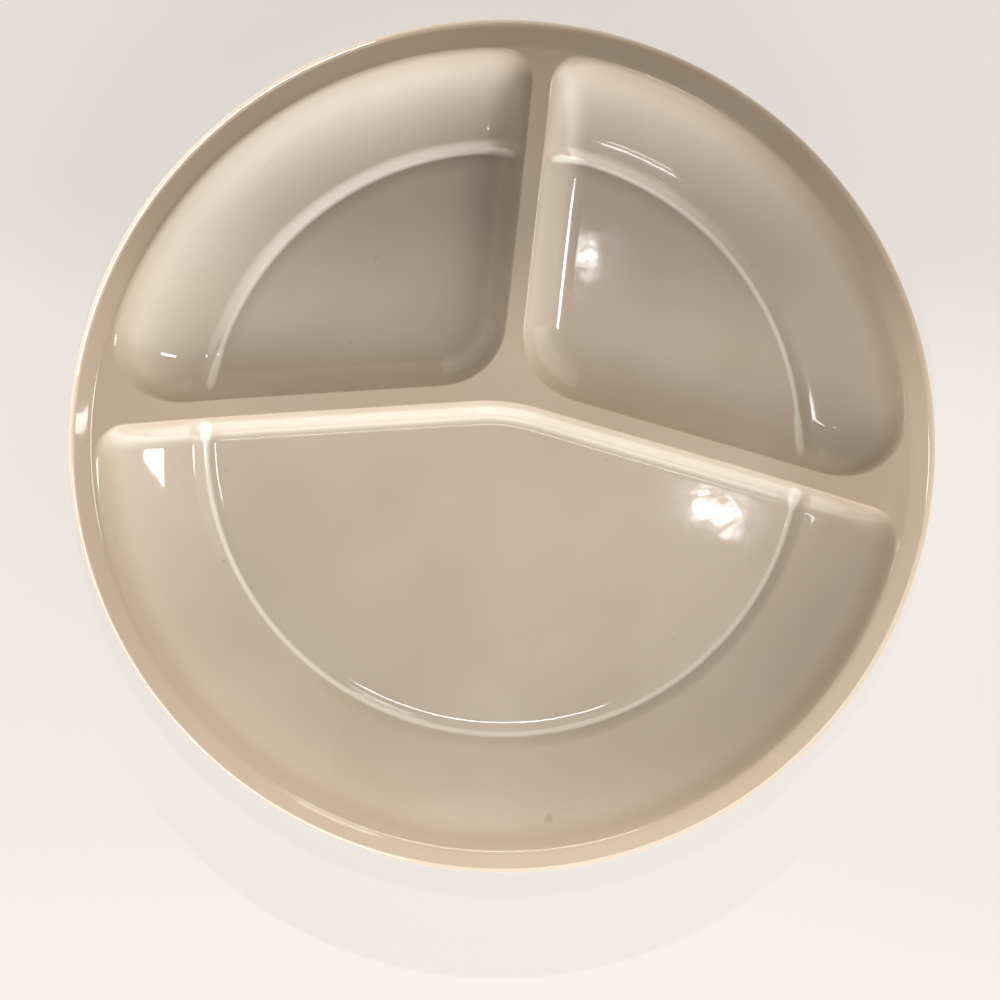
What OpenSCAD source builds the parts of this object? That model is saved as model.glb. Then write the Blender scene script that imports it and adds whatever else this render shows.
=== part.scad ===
// Round dinner plate with three compartments, pressed in one piece and glazed.
// Origin: centre of the foot on the table. +Z is up, +Y runs along the top divider.
// The plate is divided into its named regions, which meet face to face.

/* [Plate] */
// Diameter over the rolled rim
plate_d = 250; // [220:1:300]
// Depth of the wells below the rim
well_depth = 14; // [10:0.5:20]
// Thickness of the well floors
floor_t = 5.5; // [4:0.1:7]

/* [Rim] */
// Width of the rim band, from the top of the wall to the outer edge
rim_w = 7.4; // [6.5:0.1:11]
// Outward slope of the band, in degrees
rim_slope = 10; // [5:1:15]
// Length over which the band's inner edge is rounded
rim_inner_edge = 1; // [0.5:0.1:2]
// Radius of the rolled outer edge
rim_edge_r = 3.2; // [2.4:0.1:3.6]
// Slope with which the rolled edge starts, in degrees
rim_shoulder = 26; // [16:1:35]
// Thickness of the plate where the wall meets the rim
rim_root_t = 5; // [4:0.1:6]

/* [Wells] */
// Width of the sloping wall, from the crease round the floors to the rim
wall_w = 31.5; // [26:0.5:40]
// Width of the shallow groove just inside the crease
groove_w = 5; // [3:0.1:8]
// Depth of that groove at the crease
groove_depth = 0.6; // [0.2:0.05:0.9]
// Half width of the small cove along the crease
crease_cove = 1; // [0.5:0.1:1.5]
// Width of the ring step just outside the crease
ring_w = 4.2; // [3:0.1:6]
// Rise of that ring step
ring_rise = 1.5; // [0.6:0.1:2.2]

/* [Dividers] */
// Distance from the plate's centre to the hub where the dividers meet
hub_offset = 18.5; // [10:0.5:26]
// Angle between the top divider and each side divider, in degrees
divider_angle = 100; // [90:1:110]
// Width of the flat crest of a divider
crest_w = 4.8; // [3:0.1:8]
// Length over which the edge of the crest is rounded
crest_edge = 1; // [0.5:0.1:1.8]
// Drop of the crest below the rim
crest_drop = 2.5; // [0.5:0.1:5]
// Length over which the crest climbs to the rim
crest_run = 48; // [20:1:70]
// Width of the flanks that fall into the two small wells
side_flank_w = 13; // [9:0.5:15]
// Width of the flanks that fall into the main well
main_flank_w = 10; // [7:0.5:13]
// Power by which the flanks steepen towards the crest
flank_growth = 2.5; // [2:0.1:3.5]
// Radius in plan with which the crests widen into the rim
corner_r = 9; // [6:0.5:14]
// The same where a side divider meets the rim in a small well
side_corner_r = 26; // [12:0.5:32]
// Extra rounding of the crest's edge there
side_corner_edge = 5; // [0:0.5:8]
// Radius in plan of the two small wells' corners at the hub
hub_corner_r = 20; // [16:0.5:26]
// Radius in plan of the main well's corner at the hub
main_corner_r = 55; // [20:1:80]

/* [Foot] */
// Height of the foot ring
foot_h = 3.5; // [2.5:0.1:5]
// Width of the foot ring
foot_w = 4.2; // [3:0.1:6]
// Distance of the foot ring's root inside the crease
foot_inset = 2; // [0.5:0.1:5]
// Radius of the coves where the foot ring joins the back
foot_cove_r = 1.2; // [0.6:0.1:1.6]
// Radius of the foot ring's edges on the table
foot_edge_r = 0.7; // [0.3:0.1:1]

/* [Hidden] */

// Glaze and bare clay colours
glaze = [0.86, 0.79, 0.69];
bare_clay = [0.80, 0.71, 0.58];

// Radii of the lines where the radial profile changes
plate_r = plate_d / 2;
wall_r = plate_r - rim_w;
crease_r = wall_r - wall_w;
ring_r = crease_r + ring_w;
groove_r = crease_r - groove_w;
wall_run = wall_r - ring_r;

// Heights above the table
floor_z = foot_h + floor_t;
rim_z = floor_z + well_depth;
root_z = rim_z - rim_root_t;

// How the wall's slope grows outwards: its share at the bottom, the power by
// which it grows, and the power by which it rounds over at the rim
slope_start_share = 0.28;
slope_growth = 1.2;
rim_rounding = 22;
// Power by which the ring step rounds over at its top
ring_bend = 3;

// Where the grids have their lines, as shares of the stretch between two
// radii, along a divider, across a flank, over a floor and from the hub outwards
groove_shares = [0, 0.4, 0.8, 1];
ring_shares = [0.25, 0.5, 0.75, 1];
wall_shares = [0.13, 0.27, 0.41, 0.54, 0.66, 0.77, 0.86, 0.93, 0.97, 1];
along_shares = [0, 0.08, 0.18, 0.3, 0.44, 0.6, 0.76, 0.9];
flank_shares = [0, 0.05, 0.12, 0.21, 0.33, 0.48, 0.65, 0.82, 1];
floor_shares = [0.12, 0.3, 0.55, 0.8];
hub_shares = [0.12, 0.22, 0.28, 0.34, 0.4, 0.46, 0.52, 0.58, 0.65, 0.73, 0.82, 0.91, 1];

// Angular steps of a grid across the main well and across a small well
main_steps = 44;
side_steps = 24;
round_steps = 180;
edge_steps = 6;

// The dividers' directions, counter-clockwise: top, left and right
hub = [0, hub_offset];
arm_angles = [90, 90 + divider_angle, 450 - divider_angle];
TOP = 0;
LEFT = 1;
RIGHT = 2;
// Each well has the number of the divider on its clockwise side
LEFT_WELL = TOP;
MAIN_WELL = LEFT;
RIGHT_WELL = RIGHT;
corner_radii = [hub_corner_r, main_corner_r, hub_corner_r];
flank_widths = [side_flank_w, main_flank_w, side_flank_w];

function heading(angle) = [cos(angle), sin(angle)];
function arm_dir(k) = heading(arm_angles[k % 3]);
function left_of(d) = [-d.y, d.x];
function between(a, b, share) = a + (b - a) * share;
function clamp_share(x) = min(max(x, 0), 1);
function ease(x) = pow(clamp_share(x), 2) * (3 - 2 * clamp_share(x));

// Share of the wall's rise that is reached at share t of its run: the integral
// of a slope that grows outwards and rounds over to nothing at the rim
function wall_sum(t) =
    let (a = slope_start_share, b = 1 - a, m = slope_growth + 1, q = rim_rounding)
    a * t + b * pow(t, m) / m - a * pow(t, q + 1) / (q + 1) - b * pow(t, m + q) / (m + q);
function wall_rise(t) = wall_sum(t) / wall_sum(1);

// The ring step ends with the slope at which the wall begins
start_slope = let (k = slope_start_share / wall_sum(1))
    (well_depth + groove_depth - ring_rise) * k / (wall_run + k * ring_w);
ring_z = floor_z - groove_depth + ring_rise + start_slope * ring_w;

// Share of the ring step's rise that lies above a point at share u of its width
// inside its top: a straight chamfer that rounds over at the top
function ring_fall(u) = ((ring_bend + 1) * u - 1 + pow(1 - u, ring_bend + 1)) / ring_bend;

// Turn of the slope at the crease, and the height by which the cove fills it
crease_turn = 2 * groove_depth / groove_w + start_slope
    + ring_rise / ring_w * (ring_bend + 1) / ring_bend;
function crease_fill(r) =
    crease_turn * pow(max(crease_cove - abs(r - crease_r), 0), 2) / (4 * crease_cove);

// Height of the face at radius r, before the dividers are added
function turned_z(r) = crease_fill(r) + (
    r <= groove_r ? floor_z :
    r <= crease_r ? floor_z - groove_depth * pow((r - groove_r) / groove_w, 2) :
    r <= ring_r ? ring_z - ring_rise * ring_fall((ring_r - r) / ring_w) - start_slope * (ring_r - r) :
    r < wall_r ? ring_z + (rim_z - ring_z) * wall_rise((r - ring_r) / wall_run) :
    rim_z);

// Height of the back at radius r: level inside the crease, a parabola outside
function back_z(r) = foot_h + (root_z - foot_h) * pow(max(r - crease_r, 0) / wall_w, 2);

// Distance of point p to the left of the line along divider k
function beside(p, k) = (p - hub) * left_of(arm_dir(k));

// The well that point p lies in
function well_of(p) =
    beside(p, TOP) >= 0 && beside(p, LEFT) < 0 ? LEFT_WELL :
    beside(p, TOP) < 0 && beside(p, RIGHT) >= 0 ? RIGHT_WELL : MAIN_WELL;

// Opening angle of a well, and the centre of the round corner that the edges of
// the crests beside it make at the hub
function opening(k) = arm_angles[(k + 1) % 3] - arm_angles[k] + (k == RIGHT_WELL ? 360 : 0);
function corner_centre(k) =
    hub + heading(arm_angles[k] + opening(k) / 2)
        * (crest_w / 2 + corner_radii[k]) / sin(opening(k) / 2);
corner_centres = [for (k = [LEFT_WELL, MAIN_WELL, RIGHT_WELL]) corner_centre(k)];

// Corners where divider arm meets the rim in a well: the radius in plan, the
// quarter circle by which the crest widens at a distance a inside the rim, and
// the length over which the crest's edge is rounded there
function plain_corner(well, arm) = well == MAIN_WELL || arm == TOP;
function rim_corner_r(well, arm) = plain_corner(well, arm) ? corner_r : side_corner_r;
function flare(well, arm, a) =
    let (c = rim_corner_r(well, arm), s = min(max(c - a, 0), c))
    c - sqrt(c * c - s * s);
function edge_at(well, arm, a) =
    let (near = clamp_share(1 - a / side_corner_r))
    plain_corner(well, arm) ? crest_edge : crest_edge + side_corner_edge * near * near;

// Share of the height up to the crest that a flank of width w reaches at a
// distance t from the crest's edge, which is rounded over the length e
function softened(t, e) = sqrt(t * t + e * e) - e;
function flank_share(t, e, w) = pow(max(1 - softened(max(t, 0), e) / softened(w, e), 0), flank_growth);

// The same at point p, a distance a inside the rim
function flank_rise(p, a) =
    let (k = well_of(p), n = (k + 1) % 3, w = flank_widths[k], h = crest_w / 2, q = p - corner_centres[k])
    q * arm_dir(k) < 0 && q * arm_dir(n) < 0 ? flank_share(corner_radii[k] - norm(q), crest_edge, w) :
    max(flank_share(beside(p, k) - flare(k, k, a) - h, edge_at(k, k, a), w),
        flank_share(-beside(p, n) - flare(k, n, a) - h, edge_at(k, n, a), w));

// Height of the crests at a distance a inside the rim
function crest_z(a) = rim_z - crest_drop * ease(a / crest_run);

// Height of the face at point p
function face_z(p) =
    let (r = norm(p), a = wall_r - r, z = turned_z(r))
    z + max(crest_z(a) - z, 0) * flank_rise(p, a);

// Point at radius r on the ray from point q in direction d
function at_radius(q, d, r) = let (s = q * d) q + d * (sqrt(s * s - q * q + r * r) - s);

// Distance from a divider's middle line to its foot in well k
function reach(k) = crest_w / 2 + flank_widths[k % 3];

// Corner of well k where the feet of the dividers beside it meet
function foot_corner(k) =
    let (n = k % 3)
    hub + heading(arm_angles[n] + opening(n) / 2) * reach(n) / sin(opening(n) / 2);

// Point at radius r on divider k's foot line in the well to its left or right
function left_foot(k, r) = at_radius(hub + left_of(arm_dir(k)) * reach(k), arm_dir(k), r);
function right_foot(k, r) = at_radius(hub - left_of(arm_dir(k)) * reach(k + 2), arm_dir(k), r);
function angle_of(p) = atan2(p.y, p.x);
function ccw_from(a, b) = b < a ? b + 360 : b;

// Point at radius r, at a share of the way across well k
function across_well(k, r, share) =
    let (a = angle_of(left_foot(k, r)), b = ccw_from(a, angle_of(right_foot((k + 1) % 3, r))))
    r * heading(between(a, b, share));

groove_radii = [for (s = groove_shares) groove_r + groove_w * s];
wall_radii = concat([crease_r], [for (s = ring_shares) crease_r + ring_w * s],
                    [for (s = wall_shares) ring_r + wall_run * s]);
function well_steps(k) = k == MAIN_WELL ? main_steps : side_steps;

// Distances to the left of divider k's middle line of the grid lines along it
last_flank = len(flank_shares) - 1;
function flank_offsets(k) = [for (s = flank_shares) crest_w / 2 + flank_widths[k % 3] * s];
function offsets(k) =
    let (right = flank_offsets(k + 2))
    concat([for (i = [last_flank : -1 : 0]) -right[i]], [0], flank_offsets(k));

// The same lines' ends at the hub, evenly spread between the two foot corners
function hub_ends(k) =
    let (right = reach(k + 2), span = right + reach(k))
    [for (x = offsets(k)) between(foot_corner(k + 2), foot_corner(k), (x + right) / span)];

// Solid between the face and the back over a grid of plan points. Rows run
// outwards and their points run counter-clockwise. A first row of one point is
// the middle of a fan, and in a closed grid the last point joins the first.
module slab(rows, closed = false) {
    count = len(rows);
    width = len(rows[count - 1]);
    fan = len(rows[0]) == 1;
    plan = [for (row = rows) each row];
    size = len(plan);
    function at(i, j) = fan ? (i == 0 ? 0 : 1 + (i - 1) * width + j % width) : i * width + j % width;
    cells = [for (i = [0 : count - 2]) for (j = [0 : closed ? width - 1 : width - 2])
        [at(i, j), at(i + 1, j), at(i + 1, j + 1), at(i, j + 1)]];
    tops = [for (c = cells) each c[0] == c[3] ? [[c[0], c[2], c[1]]]
        : [[c[0], c[2], c[1]], [c[0], c[3], c[2]]]];
    bottoms = [for (t = tops) [t[0] + size, t[2] + size, t[1] + size]];
    last = width - 1;
    outer = [for (j = [0 : closed ? last : last - 1]) [at(count - 1, j), at(count - 1, j + 1)]];
    inner = fan ? [] : [for (j = [0 : last - 1]) [at(0, j + 1), at(0, j)]];
    ends = closed ? [] : concat([for (i = [0 : count - 2]) [at(i, 0), at(i + 1, 0)]],
        [for (i = [0 : count - 2]) [at(i + 1, last), at(i, last)]]);
    sides = [for (e = concat(outer, inner, ends)) [e[0], e[1], e[1] + size, e[0] + size]];
    polyhedron(
        points = concat([for (p = plan) [p.x, p.y, face_z(p)]],
                        [for (p = plan) [p.x, p.y, back_z(norm(p))]]),
        faces = concat(tops, bottoms, sides), convexity = 6);
}

// Wall of well k
module well_wall(k) {
    steps = well_steps(k);
    color(glaze)
        slab([for (r = wall_radii) [for (j = [0 : steps]) across_well(k, r, j / steps)]]);
}

// Floor of well k, a fan from its corner at the hub
module well_floor(k) {
    steps = well_steps(k);
    corner = foot_corner(k);
    rim_points = [for (j = [0 : steps]) across_well(k, crease_r, j / steps)];
    rays = [for (p = rim_points) (p - corner) / norm(p - corner)];
    color(glaze)
        slab(concat([[corner]],
            [for (s = floor_shares) [for (d = rays) between(corner, at_radius(corner, d, groove_r), s)]],
            [for (r = groove_radii) [for (d = rays) at_radius(corner, d, r)]]));
}

// Divider k from the hub to the rim, with both its flanks
module divider(k) {
    dir = arm_dir(k);
    starts = hub_ends(k);
    lines = [for (x = offsets(k)) hub + left_of(dir) * x];
    wall_lines = [for (r = wall_radii) if (r > crease_r) r];
    color(glaze)
        slab(concat(
            [for (t = along_shares) [for (j = [0 : len(lines) - 1])
                between(starts[j], at_radius(lines[j], dir, groove_r), t)]],
            [for (r = concat(groove_radii, wall_lines)) [for (q = lines) at_radius(q, dir, r)]]));
}

// Hub where the three dividers meet, a triangle between their feet
module divider_hub() {
    edge = [for (k = [TOP, LEFT, RIGHT]) let (ends = hub_ends(k)) for (i = [0 : len(ends) - 2]) ends[i]];
    color(glaze)
        slab(concat([[hub]], [for (t = hub_shares) [for (p = edge) between(hub, p, t)]]), closed = true);
}

function bezier(a, b, c, d, t) =
    between(between(between(a, b, t), between(b, c, t), t),
            between(between(b, c, t), between(c, d, t), t), t);

// Rolled rim: a band that falls outwards, a round edge and a cove under it
rim_run = rim_w - rim_edge_r * (1 - sin(rim_shoulder));
function band_fall(x) =
    tan(rim_slope) * (sqrt(x * x + rim_inner_edge * rim_inner_edge) - rim_inner_edge);
edge_centre = [plate_r - rim_edge_r, rim_z - band_fall(rim_run) - rim_edge_r * cos(rim_shoulder)];
// Direction in which the rolled edge ends at the cove, and the cove's handles
// as a share of the rim's width
cove_angle = 210;
cove_handle_share = 0.15;

module rim() {
    band = [for (i = [0 : edge_steps]) let (x = rim_run * i / edge_steps)
        [wall_r + x, rim_z - band_fall(x)]];
    roll = [for (i = [1 : 4 * edge_steps]) let (a = between(rim_shoulder, cove_angle, i / (4 * edge_steps)))
        edge_centre + rim_edge_r * [sin(a), cos(a)]];
    handle = rim_w * cove_handle_share;
    tip = roll[len(roll) - 1];
    root = [wall_r, root_z];
    rise = [wall_w, 2 * (root_z - foot_h)];
    tip_handle = tip + handle * [cos(cove_angle), -sin(cove_angle)];
    root_handle = root + handle * rise / norm(rise);
    cove = [for (i = [1 : edge_steps]) bezier(tip, tip_handle, root_handle, root, i / edge_steps)];
    color(glaze)
        rotate_extrude($fn = round_steps) polygon(concat(band, roll, cove));
}

// Quarter arc of radius r round centre c, from angle a to angle b
function arc(c, r, a, b) = [for (i = [0 : edge_steps]) c + r * heading(between(a, b, i / edge_steps))];

// Foot ring: coved into the back and rounded on the table, where it is bare
module foot_ring() {
    outer = crease_r - foot_inset - foot_cove_r;
    inner = outer - foot_w;
    cove_z = foot_h - foot_cove_r;
    color(bare_clay)
        rotate_extrude($fn = round_steps) polygon(concat(
            arc([outer + foot_cove_r, cove_z], foot_cove_r, 90, 180),
            arc([outer - foot_edge_r, foot_edge_r], foot_edge_r, 0, -90),
            arc([inner + foot_edge_r, foot_edge_r], foot_edge_r, -90, -180),
            arc([inner - foot_cove_r, cove_z], foot_cove_r, 0, 90)));
}

rim();
well_wall(MAIN_WELL);  // main_wall
well_wall(LEFT_WELL);  // left_wall
well_wall(RIGHT_WELL);  // right_wall
well_floor(MAIN_WELL);  // main_floor
well_floor(LEFT_WELL);  // left_floor
well_floor(RIGHT_WELL);  // right_floor
divider(TOP);  // top_divider
divider(LEFT);  // left_divider
divider(RIGHT);  // right_divider
divider_hub();
foot_ring();
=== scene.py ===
"""Looks of the round dinner plate with three compartments.

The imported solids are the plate's construction. Each of its regions is made again
here, in the same place and size, as a finely divided closed shell with the
normals of the form itself, so that the glaze runs on from one region to the next.
Lengths are in millimetres until a mesh is made, and in metres from there on.
"""

import logging
import math
from collections.abc import Callable
from dataclasses import dataclass
from enum import Enum

import bpy
import numpy as np
from mathutils import Matrix, Vector


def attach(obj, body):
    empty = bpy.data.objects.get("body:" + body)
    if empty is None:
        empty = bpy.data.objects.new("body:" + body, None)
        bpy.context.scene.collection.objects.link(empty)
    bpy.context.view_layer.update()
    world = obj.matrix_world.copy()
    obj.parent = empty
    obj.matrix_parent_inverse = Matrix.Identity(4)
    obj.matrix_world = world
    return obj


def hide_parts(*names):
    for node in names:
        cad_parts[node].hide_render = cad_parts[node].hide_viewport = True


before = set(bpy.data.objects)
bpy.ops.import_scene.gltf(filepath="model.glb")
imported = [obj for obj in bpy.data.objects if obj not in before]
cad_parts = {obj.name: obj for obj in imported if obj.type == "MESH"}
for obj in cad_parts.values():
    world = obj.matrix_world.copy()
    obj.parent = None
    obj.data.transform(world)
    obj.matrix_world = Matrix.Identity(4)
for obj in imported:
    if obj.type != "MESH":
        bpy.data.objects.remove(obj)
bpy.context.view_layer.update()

BODY = "root"
MM = 0.001
FULL_TURN = 2 * math.pi

# Mesh attribute that says how hollow the surface is, which sets the glaze's painted
# highlight in hollows, and the reach that it is measured over, in millimetres.
HOLLOW = "hollow"
HOLLOW_REACH = 1.2
# Share of the way to a cell's middle at which the normal of its corner is taken,
# and the step of the differences that give it, in millimetres.
NUDGE = 1e-3
STEP = 1e-4
# Shortest length that a vector is divided by.
TINY = 1e-12

HeightField = Callable[[np.ndarray], np.ndarray]
Place = tuple[float, float, float]
Colour = tuple[float, float, float]
Socket = bpy.types.NodeSocket
Value = Socket | float | tuple[float, ...]

log = logging.getLogger("plate")


class Well(Enum):
    """The three wells, each numbered after the divider on its clockwise side."""

    LEFT = 0
    MAIN = 1
    RIGHT = 2


class Arm(Enum):
    """The three dividers, counter-clockwise from the top one."""

    TOP = 0
    LEFT = 1
    RIGHT = 2


WELLS = tuple(Well)
ARMS = tuple(Arm)


def ease(x: np.ndarray) -> np.ndarray:
    """Smooth step: 3 x squared less 2 x cubed, with x kept between 0 and 1."""
    x = np.clip(x, 0, 1)
    return x * x * (3 - 2 * x)


def heading(angle: float | np.ndarray) -> np.ndarray:
    """Unit vector, its cosine and sine, at an angle in radians counter-clockwise from +X."""
    return np.stack([np.cos(angle), np.sin(angle)], axis=-1)


def at_radius(start: np.ndarray, direction: np.ndarray, radius: np.ndarray) -> np.ndarray:
    """Points where rays cross circles: the larger root of |start + s direction| = radius.

    Args:
        start: Points that the rays start from.
        direction: The rays' unit vectors.
        radius: The circles' radii.

    Returns:
        The crossing points.
    """
    along = np.sum(start * direction, axis=-1)
    reach = np.sqrt(along**2 - np.sum(start**2, axis=-1) + radius**2) - along
    return start + direction * reach[..., None]


@dataclass(frozen=True)
class Profile:
    """Radial profile of the plate, in millimetres, as if it had no dividers."""

    plate_r: float = 125.0
    well_depth: float = 14.0
    floor_t: float = 5.5
    foot_h: float = 3.5
    rim_w: float = 7.4
    rim_root_t: float = 5.0
    wall_w: float = 31.5
    groove_w: float = 5.0
    groove_depth: float = 0.6
    crease_cove: float = 1.0
    ring_w: float = 4.2
    ring_rise: float = 1.5
    ring_bend: float = 3.0
    slope_start: float = 0.28
    slope_growth: float = 1.2
    rim_rounding: float = 22.0

    @property
    def wall_r(self) -> float:
        """Radius of the line where the wall meets the rim."""
        return self.plate_r - self.rim_w

    @property
    def crease_r(self) -> float:
        """Radius of the crease round the floors."""
        return self.wall_r - self.wall_w

    @property
    def ring_r(self) -> float:
        """Outer radius of the ring step."""
        return self.crease_r + self.ring_w

    @property
    def groove_r(self) -> float:
        """Inner radius of the shallow groove."""
        return self.crease_r - self.groove_w

    @property
    def floor_z(self) -> float:
        """Height of the floors."""
        return self.foot_h + self.floor_t

    @property
    def rim_z(self) -> float:
        """Height of the rim."""
        return self.floor_z + self.well_depth

    @property
    def root_z(self) -> float:
        """Height of the back where the wall meets the rim."""
        return self.rim_z - self.rim_root_t

    def rise(self, t: np.ndarray) -> np.ndarray:
        """Share of the wall's rise at a share t of its run: the slope's sum up to there."""
        return self._slope_sum(t) / self._slope_sum(np.ones(1))[0]

    def _slope_sum(self, t: np.ndarray) -> np.ndarray:
        """Integral of the wall's relative slope from 0 to t.

        The slope is (start + (1 - start) t^growth) (1 - t^rounding): it grows
        outwards and rounds over to nothing at the rim.

        Args:
            t: Shares of the run, from 0 to 1.

        Returns:
            The integrals.
        """
        a, b = self.slope_start, 1 - self.slope_start
        m, q = self.slope_growth + 1, self.rim_rounding
        fades = a * t ** (q + 1) / (q + 1) + b * t ** (m + q) / (m + q)
        return a * t + b * t**m / m - fades

    def face(self, r: np.ndarray) -> np.ndarray:
        """Height of the face at a radius.

        From the middle outwards: a level floor, a groove that falls as a parabola
        to the crease, a ring step, and the wall. The step is a straight chamfer that
        rounds over: at share u of its width inside its top it has fallen by
        ((n + 1) u - 1 + (1 - u)^(n + 1)) / n of its rise. A cove fills the crease by
        turn (c - d)^2 / 4c at a distance d from it, where turn is the change of slope
        there and c the cove's half width.

        Args:
            r: Radii.

        Returns:
            Heights above the table.
        """
        share = self.slope_start / self._slope_sum(np.ones(1))[0]
        run = self.wall_r - self.ring_r
        climb = self.well_depth + self.groove_depth - self.ring_rise
        slope = climb * share / (run + share * self.ring_w)
        ring_z = self.floor_z - self.groove_depth + self.ring_rise + slope * self.ring_w
        in_groove = np.clip((r - self.groove_r) / self.groove_w, 0, 1)
        floor = self.floor_z - self.groove_depth * in_groove**2
        short = np.clip((self.ring_r - r) / self.ring_w, 0, 1)
        bend = self.ring_bend
        fall = ((bend + 1) * short - 1 + (1 - short) ** (bend + 1)) / bend
        step = ring_z - self.ring_rise * fall - slope * short * self.ring_w
        on_wall = np.clip((r - self.ring_r) / run, 0, 1)
        wall = ring_z + (self.rim_z - ring_z) * self.rise(on_wall)
        turn = 2 * self.groove_depth / self.groove_w + slope
        turn += self.ring_rise / self.ring_w * (bend + 1) / bend
        near = np.maximum(self.crease_cove - np.abs(r - self.crease_r), 0)
        fill = turn * near**2 / (4 * self.crease_cove)
        return fill + np.where(r <= self.crease_r, floor, np.where(r <= self.ring_r, step, wall))

    def back(self, r: np.ndarray) -> np.ndarray:
        """Height of the back at a radius: level inside the crease, a parabola outside."""
        out = np.maximum(r - self.crease_r, 0) / self.wall_w
        return self.foot_h + (self.root_z - self.foot_h) * out**2


@dataclass(frozen=True)
class Ridges:
    """The three dividers' form, in millimetres."""

    hub_offset: float = 18.5
    angle: float = 100.0
    crest_w: float = 4.8
    crest_edge: float = 1.0
    crest_drop: float = 2.5
    crest_run: float = 48.0
    side_flank_w: float = 13.0
    main_flank_w: float = 10.0
    flank_growth: float = 2.5
    rim_corner_r: float = 9.0
    side_corner_r: float = 26.0
    side_corner_edge: float = 5.0
    hub_corner_r: float = 20.0
    main_corner_r: float = 55.0

    def flank_w(self, k: int) -> float:
        """Width in plan of the flanks round well k."""
        return self.main_flank_w if k % len(WELLS) == Well.MAIN.value else self.side_flank_w

    def reach(self, k: int) -> float:
        """Distance from a divider's middle line to its foot in well k."""
        return self.crest_w / 2 + self.flank_w(k)

    @property
    def hub(self) -> np.ndarray:
        """Plan point where the crests meet."""
        return np.array([0.0, self.hub_offset])

    @property
    def angles(self) -> np.ndarray:
        """The arms' angles in radians, counter-clockwise from the top one."""
        return np.radians([90.0, 90.0 + self.angle, 90.0 + 360.0 - self.angle])

    def arm_dir(self, k: int) -> np.ndarray:
        """Unit vector along arm k."""
        return heading(self.angles[k % len(ARMS)])

    def arm_left(self, k: int) -> np.ndarray:
        """Unit vector to the left of arm k."""
        x, y = self.arm_dir(k)
        return np.array([-y, x])

    def middle(self, k: int) -> tuple[float, float]:
        """Direction of the line that halves well k, and half the well's opening.

        Args:
            k: Number of the well.

        Returns:
            Both angles in radians.
        """
        a = self.angles[k % len(ARMS)]
        b = self.angles[(k + 1) % len(ARMS)]
        b = b if b > a else b + FULL_TURN
        return (a + b) / 2, (b - a) / 2

    def foot_corner(self, k: int) -> np.ndarray:
        """Plan point where the feet of arm k and of the next one meet."""
        angle, half = self.middle(k)
        return self.hub + heading(angle) * self.reach(k) / math.sin(half)

    def foot_line(self, k: int, side: int, radius: np.ndarray) -> np.ndarray:
        """Points of arm k's left (side 1) or right (side -1) foot line on circles.

        Args:
            k: Number of the arm.
            side: 1 or -1.
            radius: The circles' radii.

        Returns:
            Plan points.
        """
        well = k if side > 0 else k - 1
        start = self.hub + side * self.arm_left(k) * self.reach(well)
        return at_radius(np.broadcast_to(start, radius.shape + (2,)), self.arm_dir(k), radius)

    def beside(self, p: np.ndarray, k: int) -> np.ndarray:
        """Distances of plan points to the left of arm k's line."""
        return (p - self.hub) @ self.arm_left(k)

    def corner_r(self, k: int) -> float:
        """Radius of well k's corner at the hub."""
        return self.main_corner_r if k == Well.MAIN.value else self.hub_corner_r

    def well_of(self, p: np.ndarray) -> np.ndarray:
        """Number of the well that each plan point lies in.

        Args:
            p: Plan points.

        Returns:
            The numbers.
        """
        top, left, right = (self.beside(p, k.value) for k in ARMS)
        well = np.where((top >= 0) & (left < 0), Well.LEFT.value, Well.MAIN.value)
        return np.where((top < 0) & (right >= 0), Well.RIGHT.value, well)

    def plain_corner(self, well: int, arm: int) -> bool:
        """Whether the corner where an arm meets the rim in a well is a small, crisp one."""
        return well == Well.MAIN.value or arm % len(ARMS) == Arm.TOP.value

    def flare(self, well: int, arm: int, inward: np.ndarray) -> np.ndarray:
        """Quarter circle by which a crest widens into a well as it meets the rim."""
        radius = self.rim_corner_r if self.plain_corner(well, arm) else self.side_corner_r
        return radius - np.sqrt(radius**2 - np.clip(radius - inward, 0, radius) ** 2)

    def edge(self, well: int, arm: int, inward: np.ndarray) -> np.ndarray:
        """Length over which the crest's edge is rounded, which grows in a wide corner."""
        more = 0.0 if self.plain_corner(well, arm) else self.side_corner_edge
        return self.crest_edge + more * np.clip(1 - inward / self.side_corner_r, 0, 1) ** 2

    def flank(self, t: np.ndarray, edge: np.ndarray, width: float) -> np.ndarray:
        """Share of the height up to the crest that a flank has at t from the crest's edge."""
        # It is (1 - s)^growth, where s is the share of the flank's width: steepest under
        # the crest, and level at the foot. t is softened to sqrt(t^2 + e^2) - e.
        share = (np.hypot(np.maximum(t, 0), edge) - edge) / (np.hypot(width, edge) - edge)
        return np.maximum(1 - share, 0) ** self.flank_growth

    def rise(self, p: np.ndarray, inward: np.ndarray) -> np.ndarray:
        """Share of the height up to the crest at plan points.

        It follows the nearer crest of the two beside the point's well, and at the
        hub the round corner between them.

        Args:
            p: Plan points.
            inward: Their distances inside the line where the wall meets the rim.

        Returns:
            Shares from 0 to 1.
        """
        well = self.well_of(p)
        half_crest = self.crest_w / 2
        found = np.zeros(well.shape)
        for k in range(len(WELLS)):
            width, radius = self.flank_w(k), self.corner_r(k)
            angle, half = self.middle(k)
            q = p - (self.hub + heading(angle) * (half_crest + radius) / math.sin(half))
            in_corner = (q @ self.arm_dir(k) < 0) & (q @ self.arm_dir(k + 1) < 0)
            sides = []
            for arm, side in ((k, 1), (k + 1, -1)):
                t = side * self.beside(p, arm) - self.flare(k, arm, inward) - half_crest
                sides.append(self.flank(t, self.edge(k, arm, inward), width))
            rounded = self.flank(radius - np.linalg.norm(q, axis=-1), self.crest_edge, width)
            found = np.where(well == k, np.where(in_corner, rounded, np.maximum(*sides)), found)
        return found

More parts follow.
